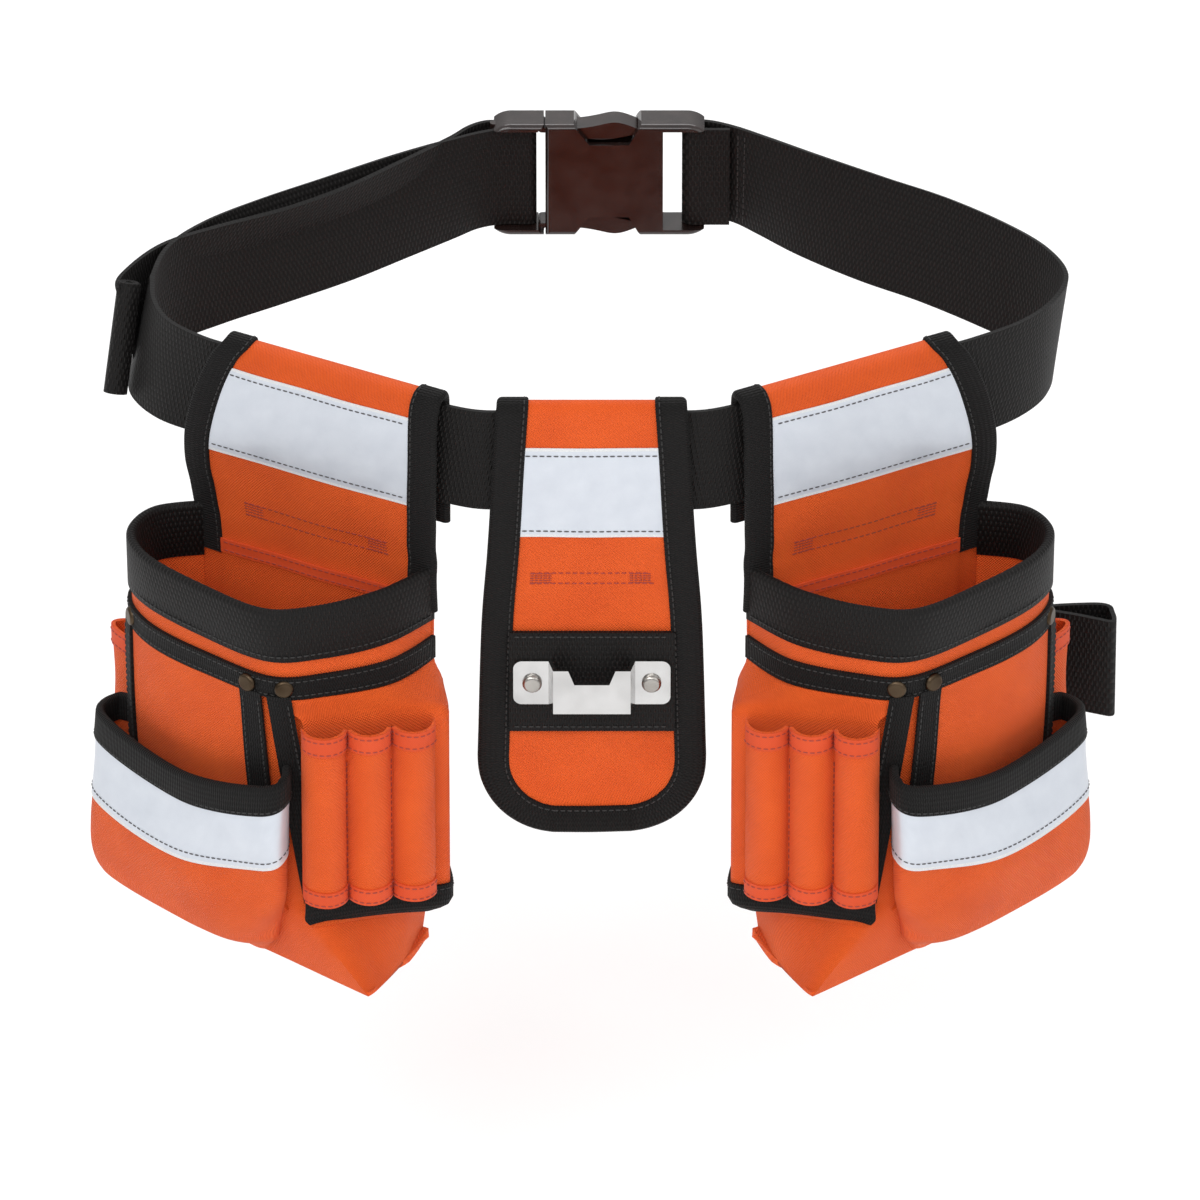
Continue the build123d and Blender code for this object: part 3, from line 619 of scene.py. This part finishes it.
def profile_place(profile, z):
    """Place on the front of a profile at a height."""
    heights = [row[1] for row in profile[4:]]
    return 4 + float(np.interp(-z, [-h for h in heights], range(len(heights))))


def across(profile, t, distance):
    """Share of the width at t that a distance makes."""
    at, _ = smooth_through(profile, t)
    return distance / (at[..., 3] - at[..., 2])


def make_band(name, surface, profile, high, low, place, seam):
    """Reflective band between the bindings, with its white edges and its two seams."""
    t = (profile_place(profile, high), profile_place(profile, low))
    margin = 8.0

    def start(b):
        return across(profile, t[0] + (t[1] - t[0]) * b, margin)

    def end(b):
        return 1 - across(profile, t[0] + (t[1] - t[0]) * b, margin)
    made = [patch(name, surface, (start, end), t, (0.1, 0.45), SILVER, place)]
    thin = 1.2 * (t[1] - t[0]) / (high - low)
    for word, low_t, high_t in (("top", t[0] - thin, t[0]), ("low", t[1], t[1] + thin)):
        made.append(patch(f"{name}_{word}_edge", surface, (start, end), (low_t, high_t), (0.08, 0.4),
                          WHITE_EDGE, place))
    for z in (high - 1.6, low + 1.6):
        spot = profile_place(profile, z)
        seam.on(surface, (0.1, 0.9), (spot, spot), 0.45)
    return made


# ---- pouch ----
def bag_shape(p, z):
    """Bag wall: p is the place on its outline, vertex number plus share, and z the height."""
    upper = np.clip((MOUTH_Z - z) / (MOUTH_Z - WAIST_Z), 0, 1)[..., None]
    lower = np.clip((WAIST_Z - z) / (WAIST_Z - BOTTOM_Z), 0, 1)[..., None]
    rings = [smooth_through(outline, p) for outline in (MOUTH, WAIST, BOTTOM)]
    soft, crisp = [(a + (b - a) * upper) + (c - b) * lower for a, b, c in zip(*rings)]
    plan = crisp + (soft - crisp) * (1 - 0.85 * lower)
    free = np.clip((MOUTH_Z - 8 - z) / 30, 0, 1)
    ends = np.clip(np.minimum(p, 8 - p), 0, 1)
    uneven = ripple(p * 19.0, z, 11, 46, 0.9) * free * ends
    outward = unit(plan - np.array([-5.0, 18.0]))
    plan = plan + outward * uneven[..., None]
    return np.concatenate([plan, (z + 0 * p)[..., None]], -1)


def floor_shape(p, t):
    """Bag floor, from its outline back to the back panel."""
    edge = bag_shape(p, np.full(np.shape(p), BOTTOM_Z))
    back = edge * [0.9, 0, 1] + [0, 3.9, 0]
    sag = np.sin(pi * np.clip(t, 0, 1)) * 1.2
    return edge + (back - edge) * t[..., None] - np.stack([0 * sag, 0 * sag, sag], -1)


def pocket_shape(p, z):
    """Lower pocket's wall, which swells between its rim and its foot."""
    level = np.interp(-z, [-h for h in POCKET_LEVELS], range(len(POCKET_LEVELS)))
    rings = np.stack([smooth_through(ring, p)[0] for ring in POCKET])
    last = len(POCKET) - 1
    index = np.clip(np.floor(level).astype(int), 0, last - 1)
    share = (level - index)[..., None]

    def ring(k):
        k = np.clip(k, 0, last)
        return np.take_along_axis(rings, k[None, ..., None].repeat(2, -1), 0)[0]
    a, b, c, d = ring(index - 1), ring(index), ring(index + 1), ring(index + 2)
    plan = 0.5 * (2 * b + (c - a) * share + (2 * a - 5 * b + 4 * c - d) * share**2
                  + (3 * b - a - 3 * c + d) * share**3)
    free = np.clip((-z - 118) / 20, 0, 1) * np.clip((189 + z) / 12, 0, 1)
    folds = ripple(p * 21.0, z * 0.55, 5, 30, 0.8) * (0.35 + free)
    plan = plan + unit(plan - np.array([-20.0, 20.0])) * folds[..., None]
    return np.concatenate([plan, (z + 0 * p)[..., None]], -1)


def tube_surface(first, heading, pitch, depth, back, fullness, seed):
    """A row of open tubes: s counts tubes, and the cloth swells between the seams."""
    way = np.array([cos(radians(heading)), sin(radians(heading))])
    face = np.array([-way[1], way[0]])
    start = np.array(first) - way * pitch / 2

    def shape(s, z):
        swell = np.abs(np.sin(pi * s)) ** fullness * depth
        swell = swell + ripple(s * pitch, z, seed, 30, 0.35) * np.abs(np.sin(pi * s))
        plan = start + way * (pitch * s)[..., None] + face * (swell - back)[..., None]
        return np.concatenate([plan, (z + 0 * s)[..., None]], -1)
    return Surface(shape, -1, (0.01, 0.05))


BAG = Surface(bag_shape, -1)
FLOOR = Surface(floor_shape, 1, (0.01, 0.01))
LOWER_POCKET = Surface(pocket_shape, -1)
INNER_TUBES = tube_surface((30.6, 53.8), -38.8, 15.4, 8.8, 4.2, 0.42, 21)
OUTER_TUBES = tube_surface((-66.8, 3.9), 94.0, 13.9, 14.0, 5.0, 0.6, 22)
APRON = [(20.6, 52.0), (32, 42.9), (45, 32.4), (57.5, 22.3), (56.5, 17.0), (47.5, 5.0)]
POUCH_CLOTH = folded_top(POUCH_TOP, 0.9, 3)


def apron_shape(p, z):
    """Panel under the tubes: it stands off the bag behind them and is sewn to it above and below."""
    plan, _ = smooth_through(APRON, p)
    on_bag = bag_shape(5.05 + p * 0.58, z)[..., :2]
    free = np.clip(np.minimum((-79 - z) / 9, (z + 171) / 9), 0, 1)[..., None]
    plan = on_bag + (plan - on_bag) * free * free * (3 - 2 * free)
    return np.concatenate([plan, (z + 0 * p)[..., None]], -1)


APRON_CLOTH = Surface(apron_shape, -1)


def rim_height(p):
    curve, _ = smooth_through([(z,) for z in POCKET_RIM], p)
    return curve[..., 0]


def make_pouch_top(word, place, across_hinge):
    """Folded cloth, its bindings, band, inner pocket and seams."""
    cloth, last = POUCH_CLOTH, len(POUCH_TOP) - 1
    red = Seams(f"{word}_top_red_stitches", RED_THREAD, place)
    grey = Seams(f"{word}_band_stitches", GREY_THREAD, place)
    black = Seams(f"{word}_top_binding_stitches", BLACK_THREAD, place)
    panel = patch(f"{word}_folded_cloth", cloth, (0, 1), (0, last), (-1.3, 0), ORANGE, place)
    across_hinge(panel, f"{word}_sleeve", f"{word}_back_panel")
    rim = profile_place(POUCH_TOP, -63)
    for side, edge, towards in (("outer", 0.0, 1), ("inner", 1.0, -1)):
        strip = edge_tape(f"{word}_top_binding_{side}", cloth, edge, (0, rim), towards,
                          (BINDING, BINDING), 1.3, BLACK, place, step=6)
        nodes = (f"{word}_sleeve_binding", f"{word}_back_panel_binding") if edge else ()
        across_hinge(strip, *nodes)
        spots = np.linspace(0.2, rim, 160)
        inset = across(POUCH_TOP, spots, BINDING - 1.3)
        s = inset if towards > 0 else 1 - inset
        black.line(cloth.at(s, spots, TAPE), cloth.normal(s, spots))
    band = make_band(f"{word}_reflective_band_top", cloth, POUCH_TOP, 12, -19, place, grey)
    across_hinge(band[0], f"{word}_reflective_band")
    for piece in band[1:]:
        across_hinge(piece)
    low, high = profile_place(POUCH_TOP, -57), profile_place(POUCH_TOP, -148)
    pocket = patch(f"{word}_inner_pocket_cloth", cloth, (0.1, 0.9), (low, high), (0.15, 1.1), ORANGE, place)
    settle(pocket, f"{word}_pouch", f"{word}_inner_pocket")
    hem = patch(f"{word}_inner_pocket_hem", cloth, (0.1, 0.9),
                (profile_place(POUCH_TOP, -56), profile_place(POUCH_TOP, -62)), (1.1, 1.7), HEM, place)
    settle(hem, f"{word}_pouch")
    pocket_thread = Seams(f"{word}_inner_pocket_stitches", RED_THREAD, place)
    for z in (-57.3, -60.8):
        spot = profile_place(POUCH_TOP, z)
        pocket_thread.on(cloth, (0.11, 0.89), (spot, spot), 1.7)
    settle(pocket_thread.make(), f"{word}_pouch")
    slot_ends = (0.21, 0.82)
    for z in (-38.5, -43.5):
        spot = profile_place(POUCH_TOP, z)
        red.on(cloth, slot_ends, (spot, spot), 0.0)
    for start in (slot_ends[0], slot_ends[1] - 0.09):
        red.bartack(cloth, (start, start + 0.09),
                    (profile_place(POUCH_TOP, -38.8), profile_place(POUCH_TOP, -43.2)), 0.05)
    for seams in (red, grey, black):
        across_hinge(seams.make())


def make_bag(word, place):
    """Bag wall, floor, mouth band, second band and the bound front panel."""
    pouch = f"{word}_pouch"
    wall = patch(f"{word}_bag_cloth", BAG, (0, 8), (MOUTH_Z, BOTTOM_Z), (-1.4, 0), ORANGE, place, 2.0)
    settle(wall, pouch, f"{word}_bag_shell")
    settle(patch(f"{word}_bag_floor", FLOOR, (0, 8), (0, 1), (-1.3, 0), ORANGE, place), pouch)
    band = rim_tape(f"{word}_mouth_webbing", BAG, (0, 8), MOUTH_Z, (19, 19), 1.4, WEBBING, place)
    settle(band, pouch, f"{word}_mouth_band")
    second = patch(f"{word}_second_webbing", BAG, (0.02, 7.98), (-70, -78.5), (0.1, 1.5), BLACK, place, 1.8)
    settle(second, pouch, f"{word}_second_band")
    panel = patch(f"{word}_front_cloth", BAG, (2.1, 4.83), (-79, -165), (0.1, 1.2), ORANGE, place)
    settle(panel, pouch, f"{word}_front_panel")
    for side, low, high, nodes in (
            ("outer", 2.02, 2.48, (f"{word}_front_panel_binding",)), ("inner", 4.58, 4.88, ())):
        strap = patch(f"{word}_strap_{side}", BAG, (low, high), (-77, STRAP_END), (1.2, 2.3),
                      BLACK, place, 1.6)
        settle(strap, pouch, *nodes)
    black = Seams(f"{word}_bag_black_stitches", BLACK_THREAD, place)
    for z, lift in ((-61.5, TAPE), (-71.4, 1.5), (-77.1, 1.5)):
        black.on(BAG, (0.1, 7.9), (z, z), lift)
    for p in (2.08, 2.42, 4.62, 4.84):
        black.on(BAG, (p, p), (-80, STRAP_END + 2), 2.3)
    settle(black.make(), pouch)
    paint(f"{word}_rivets", BRONZE)


def make_lower_pocket(word, place):
    pouch = f"{word}_pouch"
    wall = patch(f"{word}_lower_pocket_cloth", LOWER_POCKET, (0, 6),
                 (lambda a: rim_height(a * 6), -189), (-1.2, 0), ORANGE, place, 1.9)
    settle(wall, pouch, f"{word}_lower_pocket")
    rim = rim_tape(f"{word}_pocket_rim", LOWER_POCKET, (0.02, 5.98), rim_height, (10, 9), 1.2, BLACK, place)
    settle(rim, pouch, f"{word}_lower_pocket_binding")

    def below(distance):
        return lambda a: rim_height(0.02 + a * 5.96) - distance
    strip = patch(f"{word}_pocket_reflective", LOWER_POCKET, (0.02, 5.98), (below(9.4), below(31.5)),
                  (0.1, 0.45), SILVER, place, 1.8)
    settle(strip, pouch, f"{word}_lower_pocket_reflective")
    edge = patch(f"{word}_pocket_reflective_edge", LOWER_POCKET, (0.02, 5.98), (below(31.5), below(32.8)),
                 (0.08, 0.42), WHITE_EDGE, place, 1.8)
    settle(edge, pouch)
    grey = Seams(f"{word}_pocket_grey_stitches", GREY_THREAD, place)
    grey.on(LOWER_POCKET, (0.05, 5.95), lambda s: rim_height(s) - 29.6, 0.45)
    settle(grey.make(), pouch)
    black = Seams(f"{word}_pocket_rim_stitches", BLACK_THREAD, place)
    black.on(LOWER_POCKET, (0.05, 5.95), lambda s: rim_height(s) - 8.6, TAPE)
    settle(black.make(), pouch)


def make_tube_row(name, surface, count, top, bottom, place, pouch, node):
    """Scalloped tubes with a hem at each end, seams between them and bartacks on the seams."""
    cloth = patch(name, surface, (0, count), (top, bottom), (-1.0, 0), ORANGE, place, 1.3)
    settle(cloth, pouch, node)
    for word, high, low in (("top", top, lambda a: between(top, bottom, 0, a) - 7),
                            ("low", bottom + 6, bottom)):
        settle(patch(f"{name}_{word}_hem", surface, (0, count), (high, low), (0.05, 0.55), HEM, place, 1.3),
               pouch)
    red = Seams(f"{name}_stitches", RED_THREAD, place)
    first = top(0.0) if callable(top) else top
    for drop in (1.3, 6.0):
        red.on(surface, (0.03, count - 0.03),
               (lambda s: between(top, bottom, 0, s / count) - drop), 0.55)
    for z in (bottom + 1.0, bottom + 5.0):
        red.on(surface, (0.03, count - 0.03), (z, z), 0.55)
    for seam in range(1, count):
        red.on(surface, (seam - 0.03, seam - 0.03), (first - 12, bottom + 7), 0.1)
        for z in (first - 1, bottom + 6):
            red.bartack(surface, (seam - 0.1, seam + 0.1), (z, z - 5), 0.6, 4)
    settle(red.make(), pouch)


def make_tubes(word, place):
    pouch = f"{word}_pouch"
    apron = patch(f"{word}_apron_cloth", APRON_CLOTH, (0, 5), (-79, -169), (0, 1.2), ORANGE, place)
    settle(apron, pouch, f"{word}_tube_apron")
    side = patch(f"{word}_apron_strap", BAG, (lambda b: 4.98 + 0.2 * b, lambda b: 5.36 + 0.2 * b),
                 (-77, -160), (1.3, 2.5), BLACK, place, 1.6)
    settle(side, pouch, f"{word}_tube_apron_binding")
    foot = patch(f"{word}_apron_foot", APRON_CLOTH, (0, 5),
                 (lambda a: -158.5 + 3.0 * np.sin(pi * a), lambda a: -168.0 + 3.0 * np.sin(pi * a)),
                 (1.25, 2.3), BLACK, place, 1.6)
    settle(foot, pouch)
    black = Seams(f"{word}_apron_stitches", BLACK_THREAD, place)
    black.on(BAG, (5.3, 5.48), (-80, -157), 2.5)
    black.on(APRON_CLOTH, (0.1, 4.9), lambda s: -160.0 + 3.0 * np.sin(pi * s / 5), 2.3)
    settle(black.make(), pouch)
    make_tube_row(f"{word}_inner_tube_cloth", INNER_TUBES, 3, -88.0, -155.0, place, pouch,
                  f"{word}_inner_tubes")

    def outer_top(a):
        return -84.0 - 9.0 * (np.asarray(a) > 0.5)
    make_tube_row(f"{word}_outer_tube_cloth", OUTER_TUBES, 2, outer_top, -168.0, place, pouch,
                  f"{word}_outer_tubes")


def make_side_loop(place):
    """Webbing loop beside the right pouch, creased where it folds."""
    route = [(-45, 1.1), (-53, -0.5), (-60, -6.2), (-79, -6.6), (-95, -1.2), (-102.5, 2.2), (-102.5, 6),
             (-99.5, 11.5), (-95, 9.2), (-87, 1.6), (-79, -4.0), (-62, -4.4)]

    def shape(s, t):
        plan, _ = smooth_through(route, s)
        crease = 2.5 * np.exp(-((s - 6.5) ** 2) / 4)
        return np.concatenate([plan, (-119 + t - crease)[..., None]], -1)
    half = WEB_THICK / 2
    loop = patch("right_loop_webbing", Surface(shape, 1), (0, len(route) - 1), (-WEB_HALF, WEB_HALF),
                 (-half, half), WEBBING, place, 1.5)
    settle(loop, "right_pouch", "right_side_loop")


def make_pouch(side, word):
    place = pouch_place(side)
    hinge = place(np.array([[0.0, 2.9, 0.0]]))[0] * MM

    def across_hinge(piece, *nodes):
        settle_across(piece, (f"{word}_slider", f"{word}_pouch"), (hinge[0], hinge[1], -0.022),
                      (hinge[0], hinge[1], -0.040), *nodes)
    make_pouch_top(word, place, across_hinge)
    make_bag(word, place)
    make_lower_pocket(word, place)
    make_tubes(word, place)
    if side > 0:
        make_side_loop(place)


# ---- hammer holder ----
def holder_profile():
    """The holder's folded top, and below it the round corners, as profile rows."""
    rows = list(HOLDER_TOP)
    centre = HOLDER_LOW + HOLDER_ROUND
    for turn in np.linspace(12, 84, 9):
        half = 37.5 - HOLDER_ROUND + HOLDER_ROUND * cos(radians(turn))
        rows.append((2.4, centre - HOLDER_ROUND * sin(radians(turn)), -half, half))
    return rows


HOLDER = holder_profile()
HOLDER_CLOTH = folded_top(HOLDER, 0.2, 8)


def holder_edge():
    """The holder's whole edge from one rear hem, over the fold, round the foot and back."""
    last = len(HOLDER) - 1
    t = np.linspace(0, last, 220)
    left = HOLDER_CLOTH.at(np.zeros_like(t), t)
    right = HOLDER_CLOTH.at(np.ones_like(t), t)[::-1]
    foot_s = np.linspace(0, 1, 14)[1:-1]
    foot = HOLDER_CLOTH.at(foot_s, np.full_like(foot_s, last))
    edge = np.concatenate([left, foot, right])
    normals = np.concatenate([
        HOLDER_CLOTH.normal(np.full_like(t, 0.02), t),
        HOLDER_CLOTH.normal(foot_s, np.full_like(foot_s, last)),
        HOLDER_CLOTH.normal(np.full_like(t, 0.98), t)[::-1],
    ])
    normals[edge[:, 2] < -60] = (0, 1, 0)
    way = unit(np.gradient(edge, axis=0))
    inward = unit(np.cross(way, normals))
    middle = np.zeros_like(edge)
    middle[:, 2] = edge[:, 2]
    middle[:, 2] = np.maximum(middle[:, 2], HOLDER_LOW + HOLDER_ROUND)
    flip = np.sign(np.sum(inward * (middle - edge), axis=-1, keepdims=True))
    return edge, inward * np.where(flip == 0, 1, flip), normals


def make_holder():
    place = holder_place
    bodies = ("holder_slider", "hammer_holder")
    centre = (FRONT_X * MM, FRONT_Y * MM)

    def across_hinge(piece, *nodes):
        settle_across(piece, bodies, (*centre, -0.022), (*centre, -0.040), *nodes)
    cloth = patch("holder_cloth", HOLDER_CLOTH, (0, 1), (0, len(HOLDER) - 1), (-1.8, 0), ORANGE, place, 1.9)
    across_hinge(cloth, "holder_sleeve", "holder_panel")
    edge, inward, normals = holder_edge()
    strip = tape("holder_edge_binding", edge, inward, normals, (BINDING, BINDING), 1.8, BLACK, place)
    across_hinge(strip, "holder_binding", "holder_sleeve_binding")
    black = Seams("holder_binding_stitches", BLACK_THREAD, place)
    black.line((edge + inward * (BINDING - 1.4) + normals * TAPE)[4:-4], normals[4:-4])
    across_hinge(black.make())
    grey = Seams("holder_band_stitches", GREY_THREAD, place)
    band = make_band("holder_reflective_tape", HOLDER_CLOTH, HOLDER, 5, -28, place, grey)
    across_hinge(band[0], "holder_reflective_band")
    for piece in band[1:]:
        across_hinge(piece)
    across_hinge(grey.make())
    red = Seams("holder_red_stitches", RED_THREAD, place)
    for z in (-44.5, -49):
        spot = profile_place(HOLDER, z)
        red.on(HOLDER_CLOTH, (0.19, 0.81), (spot, spot), 0.0)
    for start in (0.19, 0.68):
        red.bartack(HOLDER_CLOTH, (start, start + 0.13),
                    (profile_place(HOLDER, -44.8), profile_place(HOLDER, -48.7)), 0.05)
    settle(red.make(), "hammer_holder")
    patch_face = Surface(lambda s, z: np.stack([s, 2.8 + 0 * s, z], -1), -1, (0.1, 0.1))
    web = patch("holder_patch_webbing", patch_face, (-28.5, 28.5), (-66, -105), (0, WEB_THICK),
                WEBBING, place, 2)
    settle(web, "hammer_holder", "holder_patch")
    for z in (-67.6, -103.2):
        black = Seams(f"holder_patch_stitches_{int(-z)}", BLACK_THREAD, place)
        black.on(patch_face, (-27, 27), (z, z), WEB_THICK)
        settle(black.make(), "hammer_holder")
    paint("hammer_bracket", CHROME)
    paint("bracket_rivets", NICKEL)
    paint("bracket_washers", NICKEL)


# ---- camera, light, floor ----
def area_light(name, place, aim, size, power):
    data = bpy.data.lights.new(name, "AREA")
    data.shape = "RECTANGLE"
    data.size, data.size_y = size
    data.energy = power
    lamp = bpy.data.objects.new(name, data)
    lamp.location = place
    lamp.rotation_euler = (Vector(aim) - Vector(place)).to_track_quat("-Z", "Y").to_euler()
    bpy.context.scene.collection.objects.link(lamp)


def make_studio():
    scene = bpy.context.scene
    aim = Vector((-0.0017, -0.060, -0.082))
    tilt = radians(30)
    data = bpy.data.cameras.new("camera")
    data.lens = 433
    data.sensor_width = 36
    camera = bpy.data.objects.new("camera", data)
    camera.location = aim + Vector((0, -cos(tilt), sin(tilt))) * 5.0
    camera.rotation_euler = (radians(90) - tilt, 0, 0)
    scene.collection.objects.link(camera)
    scene.camera = camera
    area_light("key", (-0.9, -1.6, 1.7), aim, (1.2, 1.2), 19)
    area_light("fill", (1.3, -1.3, 0.9), aim, (1.6, 1.6), 7)
    area_light("front", (0.0, -2.2, 1.35), aim, (1.0, 0.8), 9)
    area_light("back", (0.1, 1.4, 1.5), aim, (1.6, 0.8), 12)
    world = bpy.data.worlds.new("studio")
    world.use_nodes = True
    nodes, links = world.node_tree.nodes, world.node_tree.links
    way = nodes.new("ShaderNodeTexCoord")
    split = nodes.new("ShaderNodeSeparateXYZ")
    ramp = nodes.new("ShaderNodeValToRGB")
    ramp.color_ramp.elements[0].color = (0.30, 0.30, 0.31, 1)
    ramp.color_ramp.elements[1].color = (1, 1, 1, 1)
    ramp.color_ramp.elements[1].position = 0.55
    links.new(way.outputs["Generated"], split.inputs[0])
    links.new(split.outputs[2], ramp.inputs[0])
    links.new(ramp.outputs[0], nodes["Background"].inputs[0])
    nodes["Background"].inputs[1].default_value = 0.8
    scene.world = world
    scene.view_settings.view_transform = "Standard"
    bpy.ops.mesh.primitive_plane_add(size=14, location=(0, 1.5, -0.34))
    floor = bpy.context.object
    floor.name = "floor"
    g = Graph("floor")
    floor.data.materials.append(g.finish((0.93, 0.93, 0.93, 1), 0.9, None, Emission_Strength=0.09))


make_studio()
make_belt()
make_holder()
make_pouch(-1, "left")
make_pouch(1, "right")
for node in ("buckle_female", "buckle_male", "release_tab_upper", "release_tab_lower"):
    paint(node, PLASTIC)
